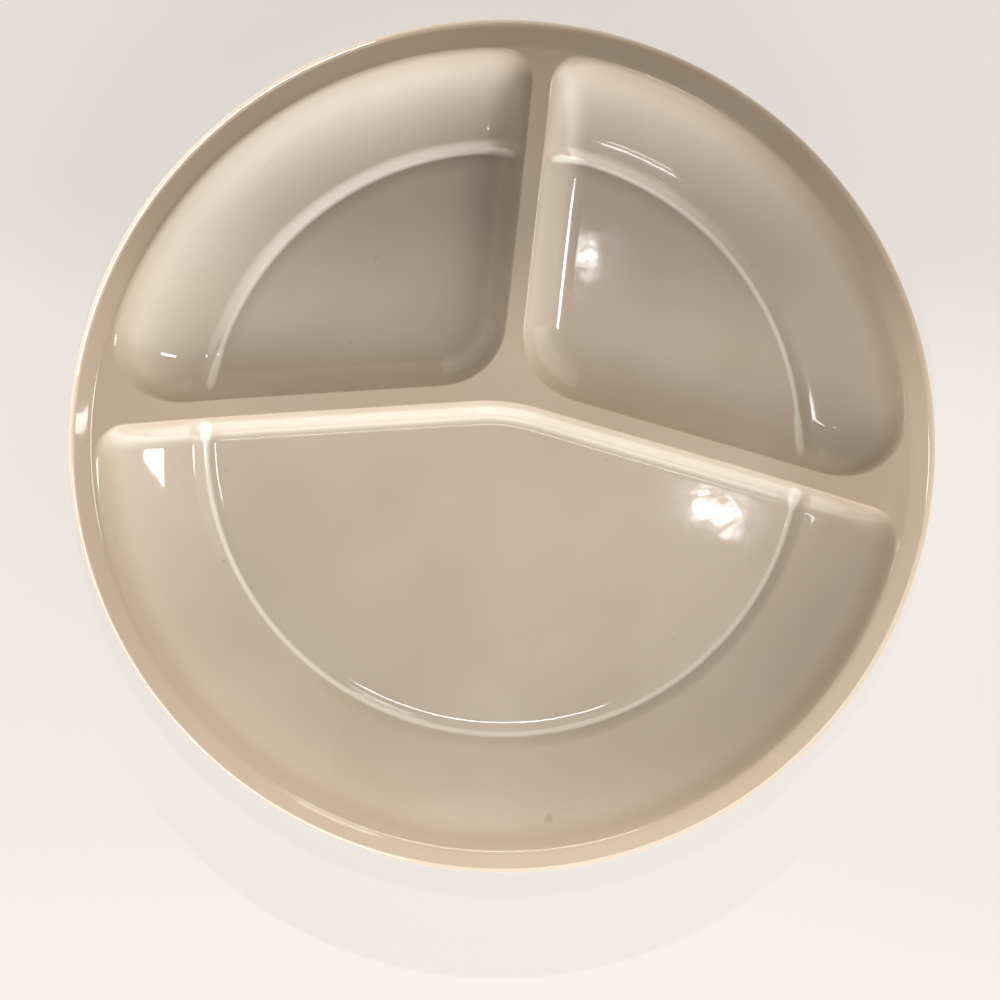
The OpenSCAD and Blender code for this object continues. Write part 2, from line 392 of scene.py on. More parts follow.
    def crest(self, inward: np.ndarray) -> np.ndarray:
        """Drop of the crest below the rim, a smooth step from the rim inwards."""
        return self.crest_drop * ease(inward / self.crest_run)


@dataclass(frozen=True)
class Form:
    """The whole form: the turned profile with the dividers raised on it."""

    profile: Profile
    ridges: Ridges

    def face_z(self, p: np.ndarray) -> np.ndarray:
        """Height of the face: the turned profile, and the rise of the flanks to the crest.

        Args:
            p: Plan points.

        Returns:
            Heights above the table.
        """
        shape = self.profile
        r = np.linalg.norm(p, axis=-1)
        turned = shape.face(r)
        inward = shape.wall_r - r
        climb = np.maximum(shape.rim_z - self.ridges.crest(inward) - turned, 0)
        return turned + climb * self.ridges.rise(p, inward)

    def back_z(self, p: np.ndarray) -> np.ndarray:
        """Height of the back at plan points."""
        return self.profile.back(np.linalg.norm(p, axis=-1))


def hollow(height: HeightField, p: np.ndarray) -> np.ndarray:
    """How hollow or sharp a height field is; the glaze gets a painted highlight in hollows.

    It is the mean of the four heights one reach away less the height here, in
    shares of the reach.

    Args:
        height: Function that gives the height at plan points.
        p: Plan points.

    Returns:
        Positive values in hollows and negative ones on edges.
    """
    dx, dy = np.array([HOLLOW_REACH, 0]), np.array([0, HOLLOW_REACH])
    around = (height(p + dx) + height(p - dx) + height(p + dy) + height(p - dy)) / 4
    return (around - height(p)) / HOLLOW_REACH


def field_normals(height: HeightField, p: np.ndarray, sign: float) -> np.ndarray:
    """Normals of a height field, (-dz/dx, -dz/dy, 1) made a unit vector.

    The slopes are central differences, so they hold on either side of a crease as
    long as the point is farther from it than the difference's step.

    Args:
        height: Function that gives the height at plan points.
        p: Plan points.
        sign: 1 for a face that looks up, -1 for one that looks down.

    Returns:
        Unit vectors.
    """
    dx, dy = np.array([STEP, 0]), np.array([0, STEP])
    sx = (height(p + dx) - height(p - dx)) / (2 * STEP)
    sy = (height(p + dy) - height(p - dy)) / (2 * STEP)
    n = np.stack([-sx, -sy, np.ones_like(sx)], axis=-1) * sign
    return n / np.linalg.norm(n, axis=-1, keepdims=True)


@dataclass
class Shell:
    """Vertices, faces and face-corner normals of one closed mesh, in millimetres.

    Where the glaze needs it, the shell also says how hollow it is at each vertex.
    """

    points: np.ndarray
    faces: list[list[int]]
    normals: np.ndarray
    hollows: np.ndarray | None = None

    def build(self, name: str) -> bpy.types.Object:
        """Makes the mesh and its object, smooth and with its own normals.

        Args:
            name: Name of the piece.

        Returns:
            The new object, at the origin.
        """
        mesh = bpy.data.meshes.new(name)
        mesh.from_pydata(self.points * MM, [], self.faces)
        mesh.polygons.foreach_set("use_smooth", np.ones(len(mesh.polygons), dtype=bool))
        mesh.normals_split_custom_set(self.normals)
        if self.hollows is not None:
            mesh.attributes.new(HOLLOW, "FLOAT", "POINT").data.foreach_set("value", self.hollows)
        mesh.update()
        piece = bpy.data.objects.new(name, mesh)
        bpy.context.scene.collection.objects.link(piece)
        return piece


def slab(form: Form, plan: np.ndarray, closed: bool = False, apex: bool = False) -> Shell:
    """Closed shell between the face and the back over a grid of plan points.

    The face and the back have the grid's own cells, and upright quads join their
    edges. A cell's corner takes the form's normal just inside that cell, which
    keeps the crease sharp where a grid line follows it.

    Args:
        form: The plate's form.
        plan: Grid of plan points: rows run outwards, columns counter-clockwise.
        closed: Whether the last column joins the first.
        apex: Whether all points of the first row are the same one.

    Returns:
        The shell.
    """
    rows, cols = plan.shape[:2]
    flat = plan.reshape(-1, 2)
    index = np.arange(rows * cols).reshape(rows, cols)
    if apex:
        flat = flat[cols - 1:]
        index = np.maximum(index - (cols - 1), 0)
    ring = np.concatenate([index, index[:, :1]], axis=1) if closed else index
    inner, outer = ring[:-1], ring[1:]
    cells = np.stack([inner[:, :-1], outer[:, :-1], outer[:, 1:], inner[:, 1:]], axis=-1)
    fan = cells[0][:, :3] if apex else np.zeros((0, 3), dtype=int)
    quads = (cells[1:] if apex else cells).reshape(-1, 4)
    size = len(flat)
    edges = [np.stack([outer[-1][:-1], outer[-1][1:]], axis=-1)]
    if not apex:
        edges.append(np.stack([inner[0][1:], inner[0][:-1]], axis=-1))
    if not closed:
        edges.append(np.stack([inner[:, 0], outer[:, 0]], axis=-1))
        edges.append(np.stack([outer[:, -1], inner[:, -1]], axis=-1))
    rims = np.concatenate(edges)
    walls = np.stack([rims[:, 0], rims[:, 0] + size, rims[:, 1] + size, rims[:, 1]], axis=-1)
    points = np.concatenate([
        np.column_stack([flat, form.face_z(flat)]),
        np.column_stack([flat, form.back_z(flat)]),
    ])
    groups, normals = [], []
    for found in (fan, quads):
        centre = flat[found].mean(axis=1, keepdims=True) if len(found) else 0
        near = flat[found] + (centre - flat[found]) * NUDGE
        groups += [found, found[:, ::-1] + size]
        normals.append(field_normals(form.face_z, near, 1.0).reshape(-1, 3))
        normals.append(field_normals(form.back_z, near[:, ::-1], -1.0).reshape(-1, 3))
    corners = points[walls]
    upright = np.cross(corners[:, 2] - corners[:, 0], corners[:, 3] - corners[:, 1])
    upright /= np.maximum(np.linalg.norm(upright, axis=-1, keepdims=True), TINY)
    groups.append(walls)
    normals.append(np.repeat(upright, 4, axis=0))
    faces = [face for group in groups for face in group.tolist()]
    hollows = np.concatenate([hollow(form.face_z, flat), np.zeros(size)])
    return Shell(points, faces, np.concatenate(normals), hollows)


def lathe(outline: np.ndarray, steps: int) -> Shell:
    """Closed ring made by turning an open outline about Z and closing it inside.

    A point of the outline at radius r and height z goes to (r cos a, r sin a, z).
    The corners take the outline's own normals, turned with it, and the closing
    face, which joins the outline's ends, is left flat across.

    Args:
        outline: Radii and heights, with the outside of the ring on the left.
        steps: Steps round the turn.

    Returns:
        The shell.
    """
    count = len(outline)
    angle = np.arange(steps) * FULL_TURN / steps
    c, s = np.cos(angle)[:, None], np.sin(angle)[:, None]
    points = np.stack([outline[:, 0] * c, outline[:, 0] * s, outline[:, 1] + 0 * c], axis=-1)
    tangent = np.gradient(outline, axis=0)
    out = np.column_stack([-tangent[:, 1], tangent[:, 0]])
    out /= np.linalg.norm(out, axis=1, keepdims=True)
    normal = np.stack([out[:, 0] * c, out[:, 0] * s, out[:, 1] + 0 * c], axis=-1)
    i, j = np.meshgrid(np.arange(steps), np.arange(count - 1), indexing="ij")
    after = (i + 1) % steps
    around = np.stack([i, i, after, after], axis=-1).reshape(-1, 4)
    along = np.stack([j, j + 1, j + 1, j], axis=-1).reshape(-1, 4)
    skin = around * count + along
    k = np.arange(steps)
    n = (k + 1) % steps
    first, last = k * count, k * count + count - 1
    close = np.stack([last, first, first[n], last[n]], axis=-1)
    flat = points.reshape(-1, 3)
    corners = flat[close]
    across = np.cross(corners[:, 2] - corners[:, 0], corners[:, 3] - corners[:, 1])
    across /= np.linalg.norm(across, axis=-1, keepdims=True)
    turned = normal.reshape(-1, 3)[skin].reshape(-1, 3)
    normals = np.concatenate([turned, np.repeat(across, 4, axis=0)])
    return Shell(flat, skin.tolist() + close.tolist(), normals)


@dataclass(frozen=True)
class Fineness:
    """How finely the shells are divided."""

    along: int = 110
    groove: int = 12
    ring: int = 12
    wall: int = 56
    flank: int = 40
    flank_crowding: float = 1.3
    crest: int = 16
    hub: int = 40
    main_turn: int = 320
    side_turn: int = 190
    full_turn: int = 720
    roll: int = 48


@dataclass
class Body:
    """The plate's regions between the foot and the rim."""

    form: Form
    fine: Fineness

    def __post_init__(self) -> None:
        """Sets the radii and shares that neighbouring grids have in common."""
        shape, fine = self.form.profile, self.fine
        ring = np.linspace(shape.crease_r, shape.ring_r, fine.ring + 1)
        wall = np.linspace(shape.ring_r, shape.wall_r, fine.wall + 1)
        self.floor_radii = np.linspace(shape.groove_r, shape.crease_r, fine.groove + 1)
        self.wall_radii = np.concatenate([ring, wall[1:]])
        self.along_shares = np.linspace(0, 1, fine.along + 1)[:-1]
        self.flank_shares = np.linspace(0, 1, fine.flank + 1) ** fine.flank_crowding

    def offsets(self, k: int) -> np.ndarray:
        """Distances to the left of arm k of the grid lines along its divider.

        They crowd towards the crest's edges, where the form bends most.

        Args:
            k: Number of the arm.

        Returns:
            Distances from the right foot to the left one.
        """
        ridges = self.form.ridges
        half = ridges.crest_w / 2
        right = -half - ridges.flank_w(k + 2) * self.flank_shares[::-1]
        crest = np.linspace(-half, half, self.fine.crest + 1)[1:-1]
        return np.concatenate([right, crest, half + ridges.flank_w(k) * self.flank_shares])

    def starts(self, k: int) -> np.ndarray:
        """Points where the grid lines along arm k's divider start, at the hub's edge.

        Args:
            k: Number of the arm.

        Returns:
            Plan points from the right foot's corner to the left one's.
        """
        ridges = self.form.ridges
        right, left = ridges.foot_corner(k + 2), ridges.foot_corner(k)
        offset = self.offsets(k)[:, None]
        return right + (left - right) * ((offset - offset[0]) / (offset[-1] - offset[0]))

    def across_well(self, well: Well, radius: np.ndarray) -> np.ndarray:
        """Plan points on circles, evenly spread between the feet beside a well.

        Args:
            well: The well.
            radius: The circles' radii.

        Returns:
            A row of points for each radius, counter-clockwise.
        """
        k, ridges = well.value, self.form.ridges
        first, last = ridges.foot_line(k, 1, radius), ridges.foot_line(k + 1, -1, radius)
        a = np.arctan2(first[:, 1], first[:, 0])
        b = np.arctan2(last[:, 1], last[:, 0])
        b = np.where(b < a, b + FULL_TURN, b)
        steps = self.fine.main_turn if well is Well.MAIN else self.fine.side_turn
        share = np.linspace(0, 1, steps + 1)
        angle = a[:, None] + (b - a)[:, None] * share
        return heading(angle) * radius[:, None, None]

    def wall(self, well: Well) -> Shell:
        """Shell of a well's wall, with the ring step at its inner edge."""
        return slab(self.form, self.across_well(well, self.wall_radii))

    def floor(self, well: Well) -> Shell:
        """Shell of a well's floor, a fan from its corner at the hub.

        Args:
            well: The well.

        Returns:
            The shell.
        """
        shape = self.form.profile
        corner = self.form.ridges.foot_corner(well.value)
        edge = self.across_well(well, np.array([shape.crease_r]))[0]
        rays = (edge - corner) / np.linalg.norm(edge - corner, axis=1, keepdims=True)
        start = np.broadcast_to(corner, rays.shape)
        end = at_radius(start, rays, np.full(len(rays), shape.groove_r))
        inner = start + (end - start) * self.along_shares[:, None, None]
        outer = np.stack([
            at_radius(start, rays, np.full(len(rays), r)) for r in self.floor_radii
        ])
        return slab(self.form, np.concatenate([inner, outer]), apex=True)

    def divider(self, arm: Arm) -> Shell:
        """Shell of a divider with its coves, from the hub to the rim.

        Args:
            arm: The divider.

        Returns:
            The shell.
        """
        k, ridges, shape = arm.value, self.form.ridges, self.form.profile
        lines = ridges.hub + ridges.arm_left(k) * self.offsets(k)[:, None]
        direction = ridges.arm_dir(k)
        start = self.starts(k)
        end = at_radius(lines, direction, np.full(len(lines), shape.groove_r))
        inner = start + (end - start) * self.along_shares[:, None, None]
        radii = np.concatenate([self.floor_radii, self.wall_radii[1:]])
        outer = np.stack([at_radius(lines, direction, np.full(len(lines), r)) for r in radii])
        return slab(self.form, np.concatenate([inner, outer]))

    def hub(self) -> Shell:
        """Shell of the hub, a fan from its middle to the three dividers' ends.

        Returns:
            The shell.
        """
        middle = self.form.ridges.hub
        edge = np.concatenate([self.starts(arm.value)[:-1] for arm in ARMS])
        out = np.linspace(0, 1, self.fine.hub + 1)[:, None, None]
        return slab(self.form, middle + (edge - middle) * out, closed=True, apex=True)


@dataclass
class Rim:
    """Rolled rim: a band that falls outwards, a round edge and a cove under it."""

    form: Form
    fine: Fineness
    slope: float = 10.0
    inner_edge: float = 1.0
    edge_r: float = 3.2
    shoulder: float = 26.0
    cove_angle: float = 210.0
    cove_handle: float = 0.15

    def shell(self) -> Shell:
        """Turns the rim's outline.

        The band falls as a hyperbola, its slope times sqrt(x^2 + e^2) - e, the edge
        is an arc that starts at the shoulder's slope, and the cove is a cubic curve
        from the arc to the back of the wall.

        Returns:
            The shell.
        """
        shape = self.form.profile
        slope, shoulder, turned = (
            math.radians(a) for a in (self.slope, self.shoulder, self.cove_angle)
        )
        run = shape.rim_w - self.edge_r * (1 - math.sin(shoulder))
        shares = np.linspace(0, 1, self.fine.roll // 2 + 1)
        x = run * shares
        drop = math.tan(slope) * (np.hypot(x, self.inner_edge) - self.inner_edge)
        band = np.column_stack([shape.wall_r + x, shape.rim_z - drop])
        centre = np.array([
            shape.plate_r - self.edge_r,
            shape.rim_z - drop[-1] - self.edge_r * math.cos(shoulder),
        ])
        a = np.linspace(shoulder, turned, self.fine.roll + 1)[1:]
        roll = centre + self.edge_r * np.column_stack([np.sin(a), np.cos(a)])
        handle = shape.rim_w * self.cove_handle
        root = np.array([shape.wall_r, shape.root_z])
        rise = np.array([shape.wall_w, 2 * (shape.root_z - shape.foot_h)])
        tip = roll[-1]
        tip_handle = tip + handle * np.array([math.cos(turned), -math.sin(turned)])
        root_handle = root + handle * rise / np.linalg.norm(rise)
        t = shares[1:, None]
        cove = ((1 - t) ** 3 * tip + 3 * (1 - t) ** 2 * t * tip_handle
                + 3 * (1 - t) * t * t * root_handle + t**3 * root)
        return lathe(np.concatenate([band, roll, cove]), self.fine.full_turn)


@dataclass
class Foot:
    """Foot ring: coved into the back, glazed down its flanks and bare on the table."""

    form: Form
    fine: Fineness
    width: float = 4.2
    inset: float = 2.0
    cove_r: float = 1.2
    edge_r: float = 0.7
    glaze_z: float = 1.0
    glaze_lip: float = 0.3
    glaze_t: float = 0.15

    @property
    def outer(self) -> float:
        """Outer radius of the ring."""
        return self.form.profile.crease_r - self.inset - self.cove_r

    @property
    def inner(self) -> float:
        """Inner radius of the ring."""
        return self.outer - self.width

    def arc(self, centre: tuple[float, float], radius: float,
            start: float, end: float) -> np.ndarray:
        """Radii and heights of an arc in the ring's section, between two angles in degrees."""
        a = np.radians(np.linspace(start, end, self.fine.roll // 4 + 1))
        return np.array(centre) + radius * heading(a)

    def glazed(self) -> Shell:
        """Turns the glazed part, from the outer cove to the rolled lips and the inner cove.

        Returns:
            The shell.
        """
        cove_z = self.form.profile.foot_h - self.cove_r
        lip, low = self.glaze_lip, self.glaze_z
        outline = np.concatenate([
            self.arc((self.outer + self.cove_r, cove_z), self.cove_r, 90, 180),
            self.arc((self.outer - lip, low + lip), lip, 0, -90),
            self.arc((self.inner + lip, low + lip), lip, -90, -180),
            self.arc((self.inner - self.cove_r, cove_z), self.cove_r, 0, 90),
        ])
        return lathe(outline, self.fine.full_turn)

    def bare(self) -> Shell:
        """Turns the bare part under it, thinner by the glaze on either side.

        Returns:
            The shell.
        """
        outer, inner, edge = self.outer - self.glaze_t, self.inner + self.glaze_t, self.edge_r
        outline = np.concatenate([
            [[outer, self.glaze_z]],
            self.arc((outer - edge, edge), edge, 0, -90),
            self.arc((inner + edge, edge), edge, -90, -180),
            [[inner, self.glaze_z]],
        ])
        return lathe(outline, self.fine.full_turn)


class Tree:
    """Small helper that adds and links the nodes of one tree."""

    def __init__(self, tree: bpy.types.NodeTree) -> None:
        """Empties a node tree."""
        self.tree = tree
        self.tree.nodes.clear()

    def add(self, kind: str, *values: Value, **settings: str) -> bpy.types.Node:
        """Adds a node, sets its properties and feeds its inputs.

        Args:
            kind: Blender's name of the node's type.
            *values: What its inputs take, in turn.
            **settings: Properties of the node.

        Returns:
            The node.
        """
        node = self.tree.nodes.new(kind)
        for key, setting in settings.items():
            setattr(node, key, setting)
        for socket, value in zip(node.inputs, values):
            self.feed(socket, value)
        return node

    def feed(self, socket: Socket, value: Value) -> None:
        """Links an input to the value if it is an output, and sets it otherwise.

        Args:
            socket: The input.
            value: What it takes.
        """
        if isinstance(value, Socket):
            self.tree.links.new(value, socket)
        else:
            socket.default_value = value

    def number(self, operation: str, *values: Value) -> Socket:
        """Output of an operation on numbers."""
        return self.add("ShaderNodeMath", *values, operation=operation).outputs["Value"]

    def vector(self, operation: str, *values: Value) -> Socket:
        """Output of an operation on vectors that gives a vector."""
        return self.add("ShaderNodeVectorMath", *values, operation=operation).outputs["Vector"]

    def measure(self, operation: str, *values: Value) -> Socket:
        """Output of an operation on vectors that gives a number."""
        return self.add("ShaderNodeVectorMath", *values, operation=operation).outputs["Value"]


class Nodes(Tree):
    """Nodes of one material."""

    # Shares of a spot's radius where it starts to fade and where it ends.
    SPOT_SHARES = (0.5, 1.4)

    def __init__(self, name: str) -> None:
        """Makes a material with a shader and its output.

        Args:
            name: Name of the material.
        """
        self.material = bpy.data.materials.new(name)
        self.material.use_nodes = True
        super().__init__(self.material.node_tree)
        self.shader = self.add("ShaderNodeBsdfPrincipled")
        self.add("ShaderNodeOutputMaterial", self.shader.outputs["BSDF"])
        self.place = self.add("ShaderNodeTexCoord").outputs["Object"]

    def coat(self, **values: Value) -> None:
        """Sets or links the shader's inputs, named with _ for each space."""
        for name, value in values.items():
            self.feed(self.shader.inputs[name.replace("_", " ")], value)

    def noise(self, size: float, detail: float, rough: float = 0.5) -> Socket:
        """Noise on object coordinates.

        Args:
            size: Size of its features, in metres.
            detail: Octaves.
            rough: Roughness of the octaves.

        Returns:
            The output from 0 to 1.
        """
        node = self.add("ShaderNodeTexNoise")
        self.feed(node.inputs["Vector"], self.place)
        self.feed(node.inputs["Scale"], 1 / size)
        self.feed(node.inputs["Detail"], detail)
        self.feed(node.inputs["Roughness"], rough)
        return node.outputs["Fac"]

    def spread(self, source: Socket, low: float, high: float,
               start: float = 0.0, end: float = 1.0) -> Socket:
        """Output that runs from low to high as the source runs from start to end, clamped."""
        return self.add("ShaderNodeMapRange", source, start, end, low, high).outputs["Result"]

    def mix(self, factor: Socket, first: Value, second: Value) -> Socket:
        """Mixes two colours.

        Args:
            factor: Output that holds the share of the second.
            first: Colour or output.
            second: Colour or output.

        Returns:
            The mixed colour's output.
        """
        node = self.add("ShaderNodeMix", factor, data_type="RGBA")
        for value, socket in ((first, node.inputs[6]), (second, node.inputs[7])):
            self.feed(socket, (*value, 1.0) if isinstance(value, tuple) else value)
        return node.outputs[2]

    def spot(self, place: Place, radius: float, strength: float) -> Socket:
        """Soft ragged spot round a place.

        Args:
            place: Its middle, in metres.
            radius: Its radius.
            strength: The value in its middle.

        Returns:
            The output, 0 outside the spot.
        """
        apart = self.measure("DISTANCE", self.place, place)
        rough = self.noise(radius, detail=3.0, rough=0.7)
        ragged = self.number("MULTIPLY_ADD", rough, radius, apart)
        core, end = (radius * share for share in self.SPOT_SHARES)
        return self.spread(ragged, strength, 0.0, core, end)

    def bump(self, height: Socket, strength: float, depth: float) -> None:
        """Bends the shader's normal, on top of what bends it already.

        Args:
            height: The height's output.
            strength: Share of the bump that shows.
            depth: Depth that a full step of height stands for, in metres.
        """
        node = self.add("ShaderNodeBump")
        self.feed(node.inputs["Strength"], strength)
        self.feed(node.inputs["Distance"], depth)
        self.feed(node.inputs["Height"], height)
        before = self.shader.inputs["Normal"].links
        if before:
            self.feed(node.inputs["Normal"], before[0].from_socket)
        self.coat(Normal=node.outputs["Normal"])


@dataclass(frozen=True)
class Speck:
    """Small brown speck under the glaze, at a place on the face in metres."""

    place: Place
    radius: float
    strength: float


@dataclass(frozen=True)
class Glaze:
    """Glossy tan glaze over a buff body, with its sizes in metres."""

    tan: Colour = (0.510, 0.430, 0.350)
    pale: Colour = (0.560, 0.478, 0.398)
    # Paler colour in hollows: a painted highlight along the ring's crease, partly glaze gathered
    # there.
    pool_highlight: Colour = (0.85, 0.80, 0.71)
    # Browner colour on the high crests and the rim: painted shade.
    crest_shade: Colour = (0.40, 0.305, 0.22)
    iron: Colour = (0.26, 0.18, 0.11)
    # Hollowness over which the painted highlight in hollows comes in, and its share.
    pool_highlight_hollows: tuple[float, float] = (0.07, 0.14)
    pool_highlight_share: float = 0.85
    # Heights over which the painted shade of the crests and rim comes in, and its share.
    crest_shade_heights: tuple[float, float] = (0.0185, 0.0215)
    crest_shade_share: float = 0.55
    smooth: float = 0.035
    dull: float = 0.063
    patch_size: float = 0.015
    ior: float = 1.7
    cloud_size: float = 0.045
    cloud_ends: tuple[float, float] = (0.35, 0.65)
    wave_size: float = 0.014
    wave_depth: float = 0.00012
    ripple_size: float = 0.0035
    ripple_depth: float = 0.00002
    bump_strength: float = 0.35
    pinhole_size: float = 0.0026
    pinhole_ends: tuple[float, float] = (0.78, 0.83)
    pinhole_strength: float = 0.25
    specks: tuple[Speck, ...] = (
        Speck((0.0255, -0.1070, 0.0180), 0.0022, 0.60),
        Speck((0.0675, -0.0535, 0.0095), 0.0013, 0.50),
    )

    def material(self) -> bpy.types.Material:
        """Makes the material.

        The colour drifts between two tans in broad clouds. It is creamier in hollows,
        most of all in the ring's crease, partly glaze gathered there and partly a painted
        highlight, and browner on the raised crests and the rim, a painted shade that
        grows with height. It carries fine pinholes and a few specks.
        patches, and low waves and fine ripples in the surface bend the reflections.

        Returns:
            The material.
        """
        nodes = Nodes("glaze")
        cloud = nodes.spread(nodes.noise(self.cloud_size, detail=3.0), 0.0, 1.0, *self.cloud_ends)
        colour = nodes.mix(cloud, self.tan, self.pale)
        # Painted shade: browner the higher the face stands, on the crests and the rim.
        height = nodes.add("ShaderNodeSeparateXYZ", nodes.place).outputs["Z"]
        crest_shaded = nodes.spread(height, 0.0, self.crest_shade_share, *self.crest_shade_heights)
        colour = nodes.mix(crest_shaded, colour, self.crest_shade)
        # Painted highlight: paler where the face is hollow, most in the ring's crease, partly
        # glaze gathered there.
        bend = nodes.add("ShaderNodeAttribute", attribute_name=HOLLOW).outputs["Fac"]
        pool_highlight = nodes.spread(bend, 0.0, self.pool_highlight_share, *self.pool_highlight_hollows)
        colour = nodes.mix(pool_highlight, colour, self.pool_highlight)
        for speck in self.specks:
            share = nodes.spot(speck.place, speck.radius, speck.strength)
            colour = nodes.mix(share, colour, self.iron)
        pores = nodes.noise(self.pinhole_size, detail=1.0)
        pits = nodes.spread(pores, 0.0, self.pinhole_strength, *self.pinhole_ends)
        colour = nodes.mix(pits, colour, self.iron)
        gloss = nodes.spread(nodes.noise(self.patch_size, detail=2.0), self.smooth, self.dull)
        nodes.coat(Base_Color=colour, Roughness=gloss, IOR=self.ior)
        waves = nodes.noise(self.wave_size, detail=1.0)
        nodes.bump(waves, self.bump_strength, self.wave_depth)
        ripples = nodes.noise(self.ripple_size, detail=1.0)
        nodes.bump(ripples, self.bump_strength, self.ripple_depth)
        return nodes.material


@dataclass(frozen=True)
class BareClay:
    """Unglazed clay of the foot, ground flat and a little dusty, with its sizes in metres."""

    clay: Colour = (0.52, 0.42, 0.30)
    dust: Colour = (0.62, 0.53, 0.41)
    roughness: float = 0.75
    grain_size: float = 0.0006
    grain_depth: float = 0.0001
    grain_strength: float = 0.6

    def material(self) -> bpy.types.Material:
        """Makes the material, with a fine grain in its colour and surface.

        Returns:
            The material.
        """
        nodes = Nodes("bare_clay")
        grain = nodes.noise(self.grain_size, detail=3.0, rough=0.6)
        nodes.coat(Base_Color=nodes.mix(grain, self.clay, self.dust), Roughness=self.roughness)
        nodes.bump(grain, self.grain_strength, self.grain_depth)
        return nodes.material


@dataclass(frozen=True)
class View:
    """Camera of the photograph, as the plate's pose in front of it.

    The plate is tilted and turned about X, Y and Z in turn, and its middle at rim
    height stands right, up and away from the lens. The focal length is in shares of
    the sensor's width, and the clip distances are in metres.
    """

    tilt: tuple[float, float, float] = (10.9, -1.4, -6.2)
    offset: Place = (0.25, 13.0, -1499.0)
    focal_share: float = 5.207
    sensor: float = 36.0
    clip: tuple[float, float] = (0.01, 10.0)

    def camera(self, rim_z: float) -> None:
        """Makes the camera.

        Args:
            rim_z: Height of the rim in millimetres.
        """
        rx, ry, rz = (
            Matrix.Rotation(math.radians(a), 3, axis) for a, axis in zip(self.tilt, "XYZ")
        )
        turn = (rx @ ry @ rz).transposed()
        data = bpy.data.cameras.new("camera")
        data.sensor_width = self.sensor
        data.lens = self.sensor * self.focal_share
        data.clip_start, data.clip_end = self.clip
        cam = bpy.data.objects.new("camera", data)
        place = turn @ (-Vector(self.offset)) + Vector((0, 0, rim_z))
        cam.matrix_world = Matrix.Translation(place * MM) @ turn.to_4x4()
        bpy.context.scene.collection.objects.link(cam)
        bpy.context.scene.camera = cam


def bearing(azimuth: float, elevation: float) -> Vector:
    """Unit vector towards an azimuth from +X and an elevation, both in degrees."""
    a, e = math.radians(azimuth), math.radians(elevation)
    return Vector((math.cos(a) * math.cos(e), math.sin(a) * math.cos(e), math.sin(e)))


@dataclass(frozen=True)
class Glow:
    """Soft bright patch of the room round the plate."""

    azimuth: float
    elevation: float
    spread: float
    colour: Colour


class Room(Tree):
    """World that is lit by glows alone."""

    def __init__(self, glows: tuple[Glow, ...], backdrop: Colour, gloss: float) -> None:
        """Makes the world: the sum of its glows, and a plain backdrop past the floor.

        A glow gives its colour times exp((cos a - 1) / spread^2) at an angle a from
        its middle.

        Args:
            glows: The glows, with their spread in degrees.
            backdrop: Colour that a direct look past the floor's edge meets.
            gloss: Share of the glows that shows in reflections.
        """
        world = bpy.data.worlds.new("room")
        world.use_nodes = True
        super().__init__(world.node_tree)
        way = self.add("ShaderNodeTexCoord").outputs["Generated"]
        total = (0.0, 0.0, 0.0)
        for glow in glows:
            middle = bearing(glow.azimuth, glow.elevation)
            cosine = self.measure("DOT_PRODUCT", way, tuple(middle))
            rate = math.radians(glow.spread) ** -2
            lobe = self.number("EXPONENT", self.number("MULTIPLY_ADD", cosine, rate, -rate))
            total = self.vector("ADD", total, self.vector("MULTIPLY", glow.colour, lobe))
        path = self.add("ShaderNodeLightPath").outputs
        shown = self.number("MULTIPLY_ADD", path["Is Glossy Ray"], gloss - 1.0, 1.0)
        light = self.add("ShaderNodeBackground", total, shown).outputs["Background"]
        plain = self.add("ShaderNodeBackground", (*backdrop, 1.0)).outputs["Background"]
        choice = self.add("ShaderNodeMixShader", path["Is Camera Ray"], light, plain)
        self.add("ShaderNodeOutputWorld", choice.outputs["Shader"])
        bpy.context.scene.world = world


def area_light(name: str, size: tuple[float, float], power: float) -> bpy.types.Light:
    """Makes a rectangular light.

    Args:
        name: Its name.
        size: Its width and height, in metres.
        power: Its power in watts.

    Returns:
        The light.
    """
    data = bpy.data.lights.new(name, "AREA")
    data.shape = "RECTANGLE"
    data.size, data.size_y = size
    data.energy = power
    return data


def aim(data: bpy.types.Light, place: Vector, target: Vector) -> bpy.types.Object:
    """Puts a lamp in its place and turns it to its target, both in metres.

    Args:
        data: The lamp's light.
        place: Where it stands.
        target: What it looks at.

    Returns:
        The lamp's object.
    """
    lamp = bpy.data.objects.new(data.name, data)
    lamp.location = place
    lamp.rotation_mode = "QUATERNION"
    lamp.rotation_quaternion = (place - target).to_track_quat("Z", "Y")
    bpy.context.scene.collection.objects.link(lamp)
    return lamp


@dataclass(frozen=True)
class Shutter:
    """Spot lamp whose cone ends in a soft straight edge across the plate."""

    azimuth: float
    elevation: float
    power: float
    edge: Place
    colour: Colour = (1.0, 0.985, 0.96)
    blend: float = 0.010
    distance: float = 3.0
    half_cone: float = 40.0
    radius: float = 0.02

    def build(self) -> None:
        """Makes the lamp, which lights what lies to -Y of its edge point."""
        data = bpy.data.lights.new("shutter_lamp", "SPOT")
        data.energy = self.power
        data.color = self.colour
        data.spot_size = 2 * math.radians(self.half_cone)
        data.spot_blend = self.blend
        data.shadow_soft_size = self.radius
        edge = Vector(self.edge)
        place = edge + bearing(self.azimuth, self.elevation) * self.distance
        ray = (edge - place).normalized()
        level = Vector((0.0, 0.0, 1.0)).cross(ray).normalized()
        side = math.copysign(math.radians(self.half_cone), ray.y)
        axis = Matrix.Rotation(side, 3, level) @ ray
        lamp = aim(data, place, place + axis)
        lamp.visible_glossy = False


